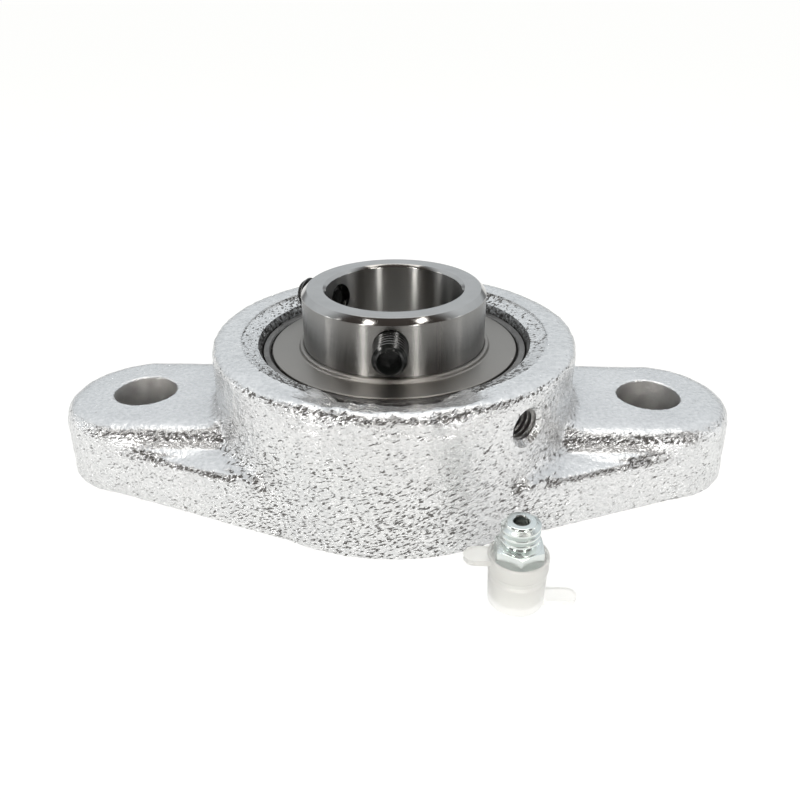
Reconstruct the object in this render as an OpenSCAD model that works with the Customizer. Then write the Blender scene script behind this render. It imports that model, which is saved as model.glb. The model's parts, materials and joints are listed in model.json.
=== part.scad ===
// Two-bolt flange bearing unit: a cast housing holds a self-aligning ball bearing insert,
// which two set screws lock to its shaft. The grease nipple stands beside it, head down in
// its dust cap, as the unit is delivered.
// The mounting face lies on z = 0, the shaft axis is Z and the bolt holes lie along X.

/* [Flange] */
// Length over the two bolt lugs
flange_length = 130; // [120:1:148]
// Distance between the two bolt holes
bolt_spacing = 99; // [90:1:106]
// Diameter of the bolt holes
bolt_hole_d = 12; // [9:0.5:16]
// Width of the bolt lugs
lug_width = 32; // [24:0.5:34]
// Thickness of the bolt lugs
lug_thickness = 13.8; // [11:0.2:17]
// Drop from the top of the lugs to the rim of the skirt
skirt_drop = 3.6; // [2.4:0.2:6]
// Draft of the lug walls, lost from the half-width over their height
lug_draft = 0.5; // [0.2:0.1:1]
// Rounding of the lugs' top edges
lug_edge = 2.4; // [1:0.2:3]
// Bevel of the skirt's rim
skirt_edge = 1; // [0.5:0.1:1.6]

/* [Hub] */
// Diameter of the hub at the mounting face
hub_d = 68; // [65:1:76]
// Height of the hub over the mounting face
hub_height = 27; // [26:0.5:30]
// Draft of the hub wall, lost from its radius over its height
hub_draft = 0.7; // [0.2:0.1:1.4]
// Rounding of the hub's top edge
hub_edge = 1.8; // [1:0.2:2.6]
// Fillet between the hub and the lugs
hub_fillet = 3; // [1:0.5:4]
// Height of the bearing centre over the mounting face
seat_height = 16; // [15:0.5:17]
// Width of the ground dish around the mouth
dish_width = 3.4; // [2:0.2:4]
// Depth of the dish
dish_depth = 1.4; // [0.6:0.2:2]
// Depth of the two loading slots outside the seat
slot_depth = 0.4; // [0.2:0.1:1]
// Radius of the scoop that leads into each loading slot
scoop_r = 36; // [24:1:48]
// Slope of the scoops towards the bearing
scoop_slope = 19; // [8:1:22]

/* [Bearing rings] */
// Diameter of the shaft bore
shaft_d = 25; // [20:0.5:27]
// Length of the inner ring
inner_ring_length = 34.1; // [33:0.1:38]
// Distance from the bearing centre to the rear face of the inner ring
inner_ring_rear = 14.3; // [12.5:0.1:14.8]
// Chamfer at the ends of the inner ring
inner_ring_chamfer = 1; // [0.4:0.1:1.4]
// Spherical outer diameter of the outer ring
outer_ring_d = 52; // [51:0.5:56]
// Width of the outer ring
outer_ring_width = 17; // [16:0.5:18]
// Wall of the outer ring behind its raceway
outer_wall = 2.53; // [2:0.01:3]
// Wall of the outer ring outside its seal seats
outer_ring_lip = 1.2; // [0.8:0.1:1.6]
// Distance of the grease groove from the middle of the outer ring
grease_groove_offset = 4.5; // [3:0.25:5]
// Radius of the grease groove's section
grease_groove_r = 1.2; // [0.8:0.1:1.5]
// Diameter of the grease holes through the outer ring
grease_hole_d = 1.8; // [1:0.2:2.2]

/* [Balls and cage] */
// Diameter of the balls
ball_d = 7.938; // [7.144:0.397:8.732]
// Number of balls
ball_count = 9; // [7:1:10]
// Distance from the ball circle to the lands of both rings
land_step = 2.5; // [2:0.1:3]
// Ratio of the raceway radius to the ball diameter
race_conformity = 0.52; // [0.51:0.005:0.54]
// Sheet thickness of the cage
cage_sheet = 0.7; // [0.5:0.1:1]
// Diameter of the cage rivets
rivet_d = 1.2; // [0.8:0.1:1.6]
// Height of the rivet heads
rivet_head_h = 0.5; // [0.3:0.1:0.8]

/* [Seals and slingers] */
// Thickness of the rubber seals
seal_thickness = 1.2; // [0.8:0.1:1.5]
// Sheet thickness of the slingers
slinger_thickness = 0.8; // [0.5:0.1:1.1]
// Width of the collar at the bore of a slinger
slinger_collar_w = 0.8; // [0.4:0.1:1.2]
// Height of the collar at the bore of a slinger
slinger_collar_h = 0.8; // [0.4:0.1:1]

/* [Set screws] */
// Thread diameter of the set screws
set_screw_d = 6; // [5:0.5:7]
// Length of the set screws
set_screw_length = 8; // [6:0.5:10]
// Width across the flats of the hexagon socket
set_screw_key = 3; // [2:0.5:3.5]
// Depth of the hexagon socket
set_screw_key_depth = 3; // [2:0.5:4]
// Distance from the front face of the inner ring to the set screws
set_screw_from_end = 5; // [4.5:0.5:6]
// Angle between the two set screws
set_screw_spread = 120; // [60:5:150]
// Direction of the first set screw
set_screw_azimuth = -90; // [-180:5:180]
// How far the tip of the first set screw stands back from the shaft
first_screw_back = 2.3; // [0.4:0.1:3]
// How far the tip of the second set screw stands back from the shaft
second_screw_back = 0.5; // [0.4:0.1:3]

/* [Grease port and nipple] */
// Thread diameter of the grease port and the nipple
port_thread_d = 6; // [5:0.5:6.5]
// Thread pitch of the grease port
port_pitch = 1; // [0.75:0.25:1]
// Tapped depth of the grease port under its chamfer
port_depth = 5.5; // [4:0.1:6]
// Diameter of the feed hole from the grease port to the seat
feed_hole_d = 2.5; // [1.5:0.1:3]
// Depth of the chamfer at the mouth of the grease port
port_chamfer = 0.6; // [0.2:0.1:1]
// Direction of the grease port
port_azimuth = -48; // [-75:1:-40]
// Width of the nipple across the flats of its hexagon
nipple_hex = 7; // [7:0.5:9]
// Height of the nipple's hexagon
nipple_hex_h = 3; // [2:0.5:4]
// Length of the nipple's thread
nipple_thread_h = 4.2; // [3.5:0.1:6]
// Largest diameter of the nipple's coupling head
nipple_head_d = 6.5; // [6:0.1:7]
// Height of the coupling head
nipple_head_h = 3.6; // [3.2:0.1:4.4]
// Diameter of the neck between head and hexagon
nipple_neck_d = 4.8; // [4.4:0.1:5.4]
// Length of the neck
nipple_neck_h = 3; // [2.5:0.1:4]
// Diameter of the grease channel
nipple_channel_d = 2.4; // [2:0.1:2.6]
// Diameter of the check ball
check_ball_d = 2; // [1.7:0.1:2]
// Wire of the check spring
spring_wire_d = 0.3; // [0.2:0.05:0.35]
// Turns of the check spring
spring_turns = 8; // [5:1:10]

/* [Dust cap] */
// Distance of the cap's axis from the front of the hub
cap_stand_off = 8.7; // [7:0.1:16]
// Distance of the cap's axis from the middle of the unit
cap_side = 20; // [-30:1:30]
// Thickness of the cap's floor
cap_floor = 1; // [0.6:0.1:1.6]
// Wall of the cap's rim around the hexagon
cap_wall = 0.5; // [0.4:0.1:1]
// How far the rim reaches up the hexagon
cap_grip = 1.2; // [0.6:0.1:2]
// Height of the rim bead
cap_bead_h = 2.4; // [1.6:0.1:3]
// Depth of the groove under the rim bead
cap_bead_step = 0.3; // [0.1:0.05:0.4]
// Reach of the pull tab from the cap's axis
tab_reach = 9.4; // [7:0.1:13]
// Width of the pull tab
tab_w = 3.2; // [2:0.2:4]
// Reach of the rim ear from the cap's axis
ear_reach = 8.3; // [6.5:0.1:11]
// Width of the rim ear
ear_w = 3.6; // [2:0.2:4.4]
// Thickness of the tab and the ear
tab_t = 0.9; // [0.6:0.1:1.4]

/* [Fits] */
// Radial clearance of the outer ring in its seat
seat_clearance = 0.03; // [0.02:0.01:0.08]
// Clearance of the balls in the raceways
ball_clearance = 0.015; // [0.01:0.005:0.03]
// Clearance of the balls in the cage pockets
pocket_clearance = 0.12; // [0.05:0.01:0.2]
// Radial clearance of the cage between the rings
cage_clearance = 0.6; // [0.3:0.1:0.8]
// Clearance between seal lip and inner ring
lip_clearance = 0.05; // [0.03:0.01:0.1]
// Radial gap between a slinger and the outer ring
slinger_gap = 0.35; // [0.2:0.05:0.6]
// Axial gap between a slinger and its seal
slinger_air = 0.6; // [0.4:0.1:0.8]
// Clearance between pieces that are pressed or snapped together
press_clearance = 0.02; // [0.01:0.01:0.05]
// Radial clearance of the set screw threads
screw_clearance = 0.05; // [0.03:0.01:0.1]
// Clearance of the nipple in its cap
cap_clearance = 0.12; // [0.05:0.01:0.25]

/* [Hidden] */
$fn = 64;
cast_fn = 32;
cut = 0.5;
lug_r = lug_width / 2;
lug_top_r = lug_r - lug_draft;
lug_end = flange_length / 2 - lug_r;
skirt_rim = lug_thickness - skirt_drop;
skirt_inset = lug_draft + 0.2;
hub_r = hub_d / 2;
hub_top_r = hub_r - hub_draft;

seat_r = outer_ring_d / 2 + seat_clearance;
seat_half = outer_ring_width / 2 - 1;
mouth_r = sqrt(pow(seat_r, 2) - pow(seat_half, 2));
slot_w = outer_ring_width + 0.6;

ball_r = ball_d / 2;
pitch_r = outer_ring_d / 2 - outer_wall - ball_r;
race_r = ball_d * race_conformity;
race_shift = race_r - ball_r - ball_clearance;
inner_r = pitch_r - land_step;
inner_rear_z = seat_height - inner_ring_rear;
inner_front_z = inner_rear_z + inner_ring_length;
outer_half = outer_ring_width / 2;
outer_shoulder_r = pitch_r + land_step;
outer_face_r = sqrt(pow(outer_ring_d / 2, 2) - pow(outer_half, 2));
seal_seat_r = outer_face_r - outer_ring_lip;
seal_seat_depth = seal_thickness + slinger_thickness + slinger_air;

cage_in_r = inner_r + cage_clearance;
cage_out_r = outer_shoulder_r - cage_clearance;
pocket_r = ball_r + pocket_clearance;
rivet_pitch_r = (cage_in_r + cage_out_r) / 2;

set_screw_z = inner_front_z - set_screw_from_end;
set_screw_r = set_screw_d / 2 - screw_clearance;
set_screw_tips = [shaft_d / 2 + first_screw_back, shaft_d / 2 + second_screw_back];
set_screw_turns = [set_screw_azimuth, set_screw_azimuth - set_screw_spread];

port_z = seat_height + grease_groove_offset;
port_drill_r = (port_thread_d - port_pitch) / 2;

cap_x = cap_side;
cap_y = -(hub_r + cap_stand_off);
nipple_z = cap_floor + press_clearance;
nipple_hex_z = nipple_head_h + nipple_neck_h;
nipple_thread_z = nipple_hex_z + nipple_hex_h;
nipple_h = nipple_thread_z + nipple_thread_h;
channel_r = nipple_channel_d / 2;
check_mouth_r = check_ball_d * 0.32;
check_seat_z = 0.9;
check_ball_z = check_seat_z + sqrt(pow(check_ball_d / 2, 2) - pow(check_mouth_r, 2)) + 0.05;
spring_r = channel_r - spring_wire_d / 2 - 0.08;
spring_from = check_ball_z + check_ball_d / 2 + spring_wire_d / 2 + 0.03;
spring_to = nipple_h - 1;
cap_rim_in = nipple_hex / sqrt(3) + cap_clearance;
cap_rim_r = cap_rim_in + cap_wall;
cap_body_r = cap_rim_r - cap_bead_step;
cap_socket_r = nipple_head_d / 2 + cap_clearance;
cap_shoulder_z = nipple_z + nipple_hex_z - press_clearance;
cap_h = cap_shoulder_z + cap_grip;

balls = [for (i = [1 : ball_count]) str("ball_", i)];

function ball_angle(i) = 90 + (i - 0.5) * 360 / ball_count;

module at_seat() { translate([0, 0, seat_height]) children(); }

module radial(azimuth, z) { translate([0, 0, z]) rotate([0, 0, azimuth]) rotate([0, 90, 0]) children(); }

module tube(r_out, r_in, z_from, z_to) {
    translate([0, 0, z_from]) difference() {
        cylinder(r = r_out, h = z_to - z_from);
        translate([0, 0, -cut]) cylinder(r = r_in, h = z_to - z_from + 2 * cut);
    }
}

module torus(ring_r, section_r) { rotate_extrude() translate([ring_r, 0]) circle(r = section_r); }

module at_nipple() { translate([cap_x, cap_y, nipple_z]) children(); }

// Casting

module lug_disc(x, r, h) { translate([x, 0, 0]) cylinder(r = r, h = h, $fn = cast_fn); }

// Rhombic skirt between the lugs, lower than they are
module flange_skirt() {
    hull() for (disc = [[-lug_end, lug_r], [0, hub_r], [lug_end, lug_r]]) {
        r = disc[1] - skirt_inset;
        lug_disc(disc[0], r, skirt_rim - skirt_edge);
        lug_disc(disc[0], r - skirt_edge, skirt_rim);
    }
}

// Round-ended bar that carries a bolt hole and runs into the hub
module lug_bar(side) {
    hull() for (x = [side * lug_end, side * hub_r / 2]) {
        lug_disc(x, lug_r, cut);
        for (a = [0 : 30 : 90])
            lug_disc(x, lug_top_r - lug_edge * (1 - cos(a)), lug_thickness - lug_edge * (1 - sin(a)));
    }
}

module hub_body() {
    shoulder = hub_height - hub_edge;
    rotate_extrude() polygon(concat(
        [[0, 0], [hub_r, 0]],
        [for (a = [0 : 15 : 90]) [hub_top_r - hub_edge * (1 - cos(a)), shoulder + hub_edge * sin(a)]],
        [[0, hub_height]]));
}

// Concave fillet on top of the two lugs, where they meet the hub
module hub_foot() {
    wall = hub_r - hub_draft * lug_thickness / hub_height;
    flat = lug_top_r - lug_edge;
    intersection() {
        translate([0, 0, lug_thickness - cut]) rotate_extrude() polygon(concat(
            [[wall - 2, 0], [wall + hub_fillet, 0]],
            [for (a = [0 : 15 : 90])
                [wall + hub_fillet * (1 - sin(a)), cut + hub_fillet * (1 - cos(a))]],
            [[wall - 2, cut + hub_fillet]]));
        translate([-flange_length / 2, -flat, 0]) cube([flange_length, 2 * flat, hub_height]);
    }
}

// Spherical seat with its mouth, ground dish and the two slots that the insert is loaded through
module insert_pocket() {
    at_seat() sphere(r = seat_r);
    translate([0, 0, -cut]) cylinder(r = mouth_r, h = hub_height + 2 * cut);
    translate([0, 0, hub_height - dish_depth])
        cylinder(r1 = mouth_r + 0.2, r2 = mouth_r + 0.2 + dish_width, h = dish_depth + 0.01);
    translate([0, 0, -0.01]) cylinder(r1 = mouth_r + 1, r2 = mouth_r - 0.2, h = 1.2);
    intersection() {
        translate([-slot_w / 2, -hub_r, seat_height]) cube([slot_w, 2 * hub_r, hub_height]);
        cylinder(r = seat_r + slot_depth, h = hub_height + cut);
    }
}

// Round scoop in the hub's top face that slopes down to each loading slot
module loading_scoops() {
    rim = hub_top_r - hub_edge / 2;
    for (turn = [0, 180]) rotate([0, 0, turn]) translate([0, -rim, hub_height])
        rotate([-90 - scoop_slope, 0, 0]) translate([0, -scoop_r, -hub_edge]) cylinder(r = scoop_r, h = hub_r);
}

// Tapped hole with a chamfered mouth, and the feed hole from its floor to the seat
module grease_port() {
    mouth_in = hub_top_r - port_chamfer;
    mouth_out = hub_r + cut;
    feed_r = feed_hole_d / 2;
    radial(port_azimuth, port_z) rotate_extrude() polygon([
        [0, mouth_r - 1], [feed_r, mouth_r - 1], [feed_r, mouth_in - port_depth],
        [port_drill_r, mouth_in - port_depth], [port_drill_r, mouth_in],
        [port_drill_r + mouth_out - mouth_in, mouth_out], [0, mouth_out]]);
}

module bolt_holes() {
    for (side = [-1, 1]) translate([side * bolt_spacing / 2, 0, -cut])
        cylinder(d = bolt_hole_d, h = lug_thickness + 2 * cut);
}

module housing() {
    color("silver") difference() {
        union() {
            flange_skirt();
            lug_bar(-1);
            lug_bar(1);
            hub_body();
            hub_foot();
        }
        insert_pocket();
        loading_scoops();
        grease_port();
        bolt_holes();
    }
}

// Bearing insert

module outer_ring() {
    color("lightsteelblue") at_seat() difference() {
        intersection() {
            sphere(d = outer_ring_d);
            translate([0, 0, -outer_half]) cylinder(d = outer_ring_d + 2, h = outer_ring_width);
        }
        translate([0, 0, -outer_half - cut])
            cylinder(r = outer_shoulder_r, h = outer_ring_width + 2 * cut);
        torus(pitch_r - race_shift, race_r);
        for (end = [-1, 1]) translate([0, 0, end * (outer_half + (cut - seal_seat_depth) / 2)])
            cylinder(r = seal_seat_r, h = seal_seat_depth + cut, center = true);
        translate([0, 0, grease_groove_offset])
            torus(sqrt(pow(outer_ring_d / 2, 2) - pow(grease_groove_offset, 2)), grease_groove_r);
        for (turn = [0, 180]) radial(port_azimuth + turn, grease_groove_offset)
            translate([0, 0, outer_shoulder_r - cut]) cylinder(d = grease_hole_d, h = outer_ring_d);
    }
}

module inner_ring() {
    bore_r = shaft_d / 2;
    c = inner_ring_chamfer;
    color("gainsboro") difference() {
        rotate_extrude() polygon([
            [bore_r + c, inner_rear_z], [inner_r - c, inner_rear_z], [inner_r, inner_rear_z + c],
            [inner_r, inner_front_z - c], [inner_r - c, inner_front_z], [bore_r + c, inner_front_z],
            [bore_r, inner_front_z - c], [bore_r, inner_rear_z + c]]);
        at_seat() torus(pitch_r + race_shift, race_r);
        for (turn = set_screw_turns) radial(turn, set_screw_z) cylinder(d = set_screw_d, h = 2 * inner_r);
    }
}

module ball(i) {
    color("white") at_seat() rotate([0, 0, ball_angle(i)]) translate([pitch_r, 0, 0]) sphere(d = ball_d);
}

// Pressed ribbon with a dome over each ball, riveted to its mirror image
module cage_half() {
    shell_r = pocket_r + cage_sheet;
    difference() {
        intersection() {
            tube(cage_out_r, cage_in_r, 0, shell_r + cut);
            union() {
                cylinder(r = cage_out_r + cut, h = cage_sheet);
                for (i = [1 : ball_count]) rotate([0, 0, ball_angle(i)]) translate([pitch_r, 0, 0])
                    sphere(r = shell_r);
            }
        }
        for (i = [1 : ball_count]) {
            rotate([0, 0, ball_angle(i)]) translate([pitch_r, 0, 0]) sphere(r = pocket_r);
            rotate([0, 0, ball_angle(i + 0.5)]) translate([rivet_pitch_r, 0, -cut])
                cylinder(d = rivet_d + 2 * press_clearance, h = cage_sheet + 2 * cut);
        }
    }
}

module cage_front_half() { color("tan") at_seat() cage_half(); }

module cage_rear_half() { color("tan") at_seat() mirror([0, 0, 1]) cage_half(); }

module cage_rivets() {
    head_r = rivet_d * 0.85;
    color("peru") at_seat() for (i = [1 : ball_count]) rotate([0, 0, ball_angle(i + 0.5)])
        translate([rivet_pitch_r, 0, 0]) {
            cylinder(d = rivet_d, h = 2 * cage_sheet + 0.2, center = true);
            for (end = [-1, 1]) translate([0, 0, end * (cage_sheet + press_clearance + rivet_head_h / 2)])
                cylinder(r = head_r, h = rivet_head_h, center = true);
        }
}

// Rubber washer in the outer ring with a thin lip on the inner ring
module seal() {
    from = outer_half - seal_seat_depth + press_clearance;
    lip = inner_r + lip_clearance;
    out = seal_seat_r - press_clearance;
    rotate_extrude() polygon([
        [lip, from + 0.3], [lip + 0.9, from], [out, from], [out, from + seal_thickness],
        [lip + 1.4, from + seal_thickness], [lip, from + 0.6]]);
}

module front_seal() { color("dimgray") at_seat() seal(); }

module rear_seal() { color("dimgray") at_seat() mirror([0, 0, 1]) seal(); }

// Pressed disc on the inner ring that throws dirt off and closes the outer ring
module slinger() {
    from = outer_half - slinger_thickness;
    bore = inner_r + press_clearance;
    rim = seal_seat_r - slinger_gap;
    bend = slinger_thickness / 2;
    rotate_extrude() polygon([
        [bore, from], [rim, from], [rim, outer_half - bend], [rim - bend, outer_half],
        [bore + slinger_collar_w + bend, outer_half], [bore + slinger_collar_w, outer_half + bend],
        [bore + slinger_collar_w, outer_half + slinger_collar_h], [bore, outer_half + slinger_collar_h]]);
}

module front_slinger() { color("rosybrown") at_seat() slinger(); }

module rear_slinger() { color("rosybrown") at_seat() mirror([0, 0, 1]) slinger(); }

// Cup-point set screw with a hexagon socket in its outer end
module set_screw(index) {
    c = set_screw_d * 0.12;
    color("black") radial(set_screw_turns[index], set_screw_z) translate([0, 0, set_screw_tips[index]])
        difference() {
            rotate_extrude() polygon([
                [0, 0], [set_screw_r - 1.5 * c, 0], [set_screw_r, 1.5 * c], [set_screw_r, set_screw_length - c],
                [set_screw_r - c, set_screw_length], [0, set_screw_length]]);
            translate([0, 0, -0.01]) cylinder(r1 = set_screw_r / 2, r2 = 0.2, h = set_screw_d * 0.15);
            translate([0, 0, set_screw_length - set_screw_key_depth]) rotate([0, 0, 30])
                cylinder(d = set_screw_key / cos(30), h = set_screw_key_depth + cut, $fn = 6);
        }
}

module set_screw_1() { set_screw(0); }

module set_screw_2() { set_screw(1); }

// Grease nipple, head down

module nipple_body() {
    head = nipple_head_d / 2;
    neck = nipple_neck_d / 2;
    thread = port_thread_d / 2;
    tip = 0.9;
    color("lightcyan") at_nipple() difference() {
        union() {
            rotate_extrude() polygon([
                [0, 0], [head * 0.55, 0], [head, nipple_head_h * 0.6], [head, nipple_head_h * 0.75],
                [neck, nipple_head_h], [neck, nipple_hex_z + cut], [0, nipple_hex_z + cut]]);
            translate([0, 0, nipple_hex_z]) cylinder(d = nipple_hex / cos(30), h = nipple_hex_h, $fn = 6);
            translate([0, 0, nipple_thread_z - cut]) cylinder(r = thread, h = nipple_thread_h + cut - tip);
            translate([0, 0, nipple_h - tip]) cylinder(r1 = thread, r2 = thread - tip, h = tip);
        }
        translate([0, 0, check_seat_z]) cylinder(r = channel_r, h = nipple_h);
        translate([0, 0, -cut]) cylinder(r = check_mouth_r, h = nipple_h);
    }
}

module check_ball() {
    color("white") at_nipple() translate([0, 0, check_ball_z]) sphere(d = check_ball_d);
}

// Wire coil swept along a helix between the check ball and the thread end
module check_spring() {
    sides = 8;
    steps = 16;
    rings = spring_turns * steps;
    rise = (spring_to - spring_from) / rings;
    wire = spring_wire_d / 2;
    points = [for (k = [0 : rings]) for (s = [0 : sides - 1])
        let (a = k * 360 / steps, b = s * 360 / sides, r = spring_r + wire * cos(b))
        [r * cos(a), r * sin(a), spring_from + k * rise + wire * sin(b)]];
    walls = [for (k = [0 : rings - 1]) for (s = [0 : sides - 1])
        let (t = (s + 1) % sides)
        [k * sides + s, (k + 1) * sides + s, (k + 1) * sides + t, k * sides + t]];
    ends = [[for (s = [0 : sides - 1]) s], [for (s = [sides - 1 : -1 : 0]) rings * sides + s]];
    color("silver") at_nipple() polyhedron(points = points, faces = concat(walls, ends));
}

// Soft cap around the head, with a pull tab at its floor and an ear at its rim
module dust_cap() {
    bead_z = cap_h - cap_bead_h;
    step = cap_bead_step;
    color("whitesmoke") translate([cap_x, cap_y, 0]) difference() {
        union() {
            rotate_extrude() polygon([
                [0, 0], [cap_body_r - 0.4, 0], [cap_body_r, 0.4], [cap_body_r, bead_z - step],
                [cap_rim_r, bead_z], [cap_rim_r, cap_h - 0.2], [cap_rim_r - 0.2, cap_h], [0, cap_h]]);
            cap_tab(tab_reach, tab_w, 0);
            rotate([0, 0, 180]) cap_tab(ear_reach, ear_w, cap_h - 0.2 - tab_t);
        }
        translate([0, 0, cap_floor]) cylinder(r = cap_socket_r, h = cap_h);
        translate([0, 0, cap_shoulder_z]) cylinder(r = cap_rim_in, h = cap_h);
    }
}

module cap_tab(reach, width, z) {
    end = reach - width / 2;
    translate([0, 0, z]) {
        translate([0, -width / 2, 0]) cube([end, width, tab_t]);
        translate([end, 0, 0]) cylinder(d = width, h = tab_t);
    }
}

housing();
outer_ring();
inner_ring();
for (i = [1 : ball_count]) ball(i);
cage_front_half();
cage_rear_half();
cage_rivets();
front_seal();
rear_seal();
front_slinger();
rear_slinger();
set_screw_1();
set_screw_2();
nipple_body();
check_ball();
check_spring();
dust_cap();
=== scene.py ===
# %% [markdown]
# # Dressing a two-bolt flange bearing
# The imported model holds the true sizes, bodies and joints of the bearing unit. This lesson keeps
# that frame as it is and puts the looks around it: a rough zinc-coated casting, ground steel
# rings, black screws with real threads, a small grease nipple and its milky cap.
# Every new piece hides the imported node it stands for and is tied to the body it moves with.

# %% Load the imported frame
import json
import math

import bmesh
import bpy
from mathutils import Matrix, Vector, noise


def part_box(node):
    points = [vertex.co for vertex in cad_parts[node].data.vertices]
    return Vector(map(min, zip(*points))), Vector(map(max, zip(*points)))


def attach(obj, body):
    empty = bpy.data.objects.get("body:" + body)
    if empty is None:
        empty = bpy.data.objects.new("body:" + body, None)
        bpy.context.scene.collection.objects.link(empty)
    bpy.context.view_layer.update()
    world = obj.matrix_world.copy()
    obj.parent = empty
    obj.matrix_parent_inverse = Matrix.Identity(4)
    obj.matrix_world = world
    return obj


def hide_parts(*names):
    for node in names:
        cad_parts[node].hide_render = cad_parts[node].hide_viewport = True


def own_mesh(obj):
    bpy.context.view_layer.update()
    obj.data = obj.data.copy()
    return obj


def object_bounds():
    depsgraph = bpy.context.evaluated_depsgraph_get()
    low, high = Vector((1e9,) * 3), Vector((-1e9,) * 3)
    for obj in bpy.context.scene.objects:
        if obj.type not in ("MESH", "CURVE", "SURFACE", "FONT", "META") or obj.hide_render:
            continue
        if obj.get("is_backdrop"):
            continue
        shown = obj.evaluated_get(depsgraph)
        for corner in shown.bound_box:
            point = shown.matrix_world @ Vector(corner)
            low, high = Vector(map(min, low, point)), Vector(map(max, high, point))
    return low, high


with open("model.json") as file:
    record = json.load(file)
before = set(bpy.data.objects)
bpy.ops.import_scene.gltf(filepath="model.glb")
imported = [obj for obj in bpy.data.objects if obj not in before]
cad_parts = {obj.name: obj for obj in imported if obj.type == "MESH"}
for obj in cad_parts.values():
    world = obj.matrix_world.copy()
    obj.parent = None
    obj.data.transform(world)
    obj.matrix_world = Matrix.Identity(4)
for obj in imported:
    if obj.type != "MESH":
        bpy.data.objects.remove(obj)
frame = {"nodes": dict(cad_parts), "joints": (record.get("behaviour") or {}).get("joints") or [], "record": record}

cad_low, cad_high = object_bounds()
scene = bpy.context.scene
print("nodes in the frame:", len(frame["nodes"]))

# %% [markdown]
# ## Sizes from the frame
# A maker reads sizes off the drawing. Here the drawing is the frame: node boxes, mounts and
# joint axes give almost every size, so a change in the part carries over. Shapes are modelled
# in millimetres, because such a small object is easier to think about that way, and each
# finished mesh is scaled to metres once.

# %% Read the driving sizes
MM = 0.001
mounts = {mount["name"]: mount for mount in frame["record"]["mounts"]}
joints = {joint["name"]: joint for joint in frame["joints"]}


def corners(node):
    low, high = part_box(node)
    return low / MM, high / MM


casting_low, casting_high = corners("housing")
hub_r = casting_high.y
hub_top = casting_high.z
bolt_x = mounts["bolt_holes"]["dims"]["spacing_x_mm"] / 2
bolt_r = mounts["bolt_holes"]["dims"]["hole_r_mm"]
bearing_z = joints["insert_swivel"]["pos_m"][2] / MM
outer_low, outer_high = corners("outer_ring")
sphere_r = outer_high.x
ring_low, ring_high = corners("inner_ring")
ring_r = ring_high.x
bore_r = mounts["shaft_bore"]["dims"]["r_mm"]
print(f"hub {2 * hub_r:.1f} mm wide and {hub_top:.1f} high, bolts {2 * bolt_x:.1f} apart")

# %% [markdown]
# ## Helpers for turned shapes
# Most of the pieces were turned on a lathe, so one helper turns an outline round the Z axis with
# the spin operator. A second helper rounds the corners of an outline first, because no real edge
# is perfectly sharp and the small round is what catches the light.


# %% Outlines and lathe
def rounded(points, steps=4):
    """Closed outline of (radius, height, rounding) corners, with an arc at each rounded one."""
    outline = []
    for index, (r, z, rounding) in enumerate(points):
        corner = Vector((r, z))
        if rounding == 0:
            outline.append(corner)
            continue
        back = (Vector(points[index - 1][:2]) - corner).normalized()
        ahead = (Vector(points[(index + 1) % len(points)][:2]) - corner).normalized()
        half = back.angle(ahead) / 2
        centre = corner + (back + ahead).normalized() * (rounding / math.sin(half))
        reach = rounding / math.tan(half)
        first = corner + back * reach - centre
        last = corner + ahead * reach - centre
        turn = first.angle_signed(last)
        for step in range(steps + 1):
            outline.append(centre + Matrix.Rotation(-turn * step / steps, 2) @ first)
    return outline


def arc(centre_r, centre_z, radius, start, end, steps=16):
    """Points of an arc, with its angles in degrees from the outward direction."""
    angles = [math.radians(start + (end - start) * step / steps) for step in range(steps + 1)]
    return [(centre_r + radius * math.cos(a), centre_z + radius * math.sin(a)) for a in angles]


def lathe(bm, outline, steps=128, start=0.0, sweep=math.tau):
    """Turns a closed outline round Z. A part turn keeps its two end faces."""
    turn = Matrix.Rotation(start, 3, "Z")
    ring = [bm.verts.new(turn @ Vector((r, 0, z))) for r, z in outline]
    section = ring + [bm.edges.new(pair) for pair in zip(ring, ring[1:] + ring[:1])]
    whole = math.isclose(sweep, math.tau)
    if not whole:
        section.append(bm.faces.new(ring))
    bmesh.ops.spin(bm, geom=section, cent=(0, 0, 0), axis=(0, 0, 1), angle=sweep,
                   steps=steps, use_merge=whole)
    bmesh.ops.remove_doubles(bm, verts=bm.verts, dist=1e-4)


def blank(bm, name):
    """Makes an object, still in millimetres, from a bmesh of closed shells."""
    bmesh.ops.recalc_face_normals(bm, faces=bm.faces)
    mesh = bpy.data.meshes.new(name)
    bm.to_mesh(mesh)
    bm.free()
    made = bpy.data.objects.new(name, mesh)
    scene.collection.objects.link(made)
    return made


def turned(name, outline, steps=128, place=Matrix()):
    bm = bmesh.new()
    lathe(bm, outline, steps)
    bmesh.ops.transform(bm, matrix=place, verts=bm.verts)
    return blank(bm, name)


# %% [markdown]
# ## Helpers for cutting and joining
# Drilled holes, hexagon sockets and threads come from tools that are subtracted, or added, with
# a Boolean modifier. Its result is kept as the mesh straight away, so nothing stays live.


# %% Apply modifiers and Booleans
def settle(made):
    """Replaces an object's mesh by what its modifiers give."""
    graph = bpy.context.evaluated_depsgraph_get()
    done = bpy.data.meshes.new_from_object(made.evaluated_get(graph))
    old = made.data
    made.modifiers.clear()
    made.data = done
    bpy.data.meshes.remove(old)


def combine(made, tool, operation="DIFFERENCE"):
    modifier = made.modifiers.new("tool", "BOOLEAN")
    modifier.object = tool
    modifier.operation = operation
    modifier.solver = "MANIFOLD"
    settle(made)
    bpy.data.objects.remove(tool)


def pointing(direction, origin):
    """Matrix that lays the Z axis along a direction, from an origin in millimetres."""
    turn = Vector(direction).to_track_quat("Z", "Y").to_matrix().to_4x4()
    return Matrix.Translation(origin) @ turn


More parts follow.
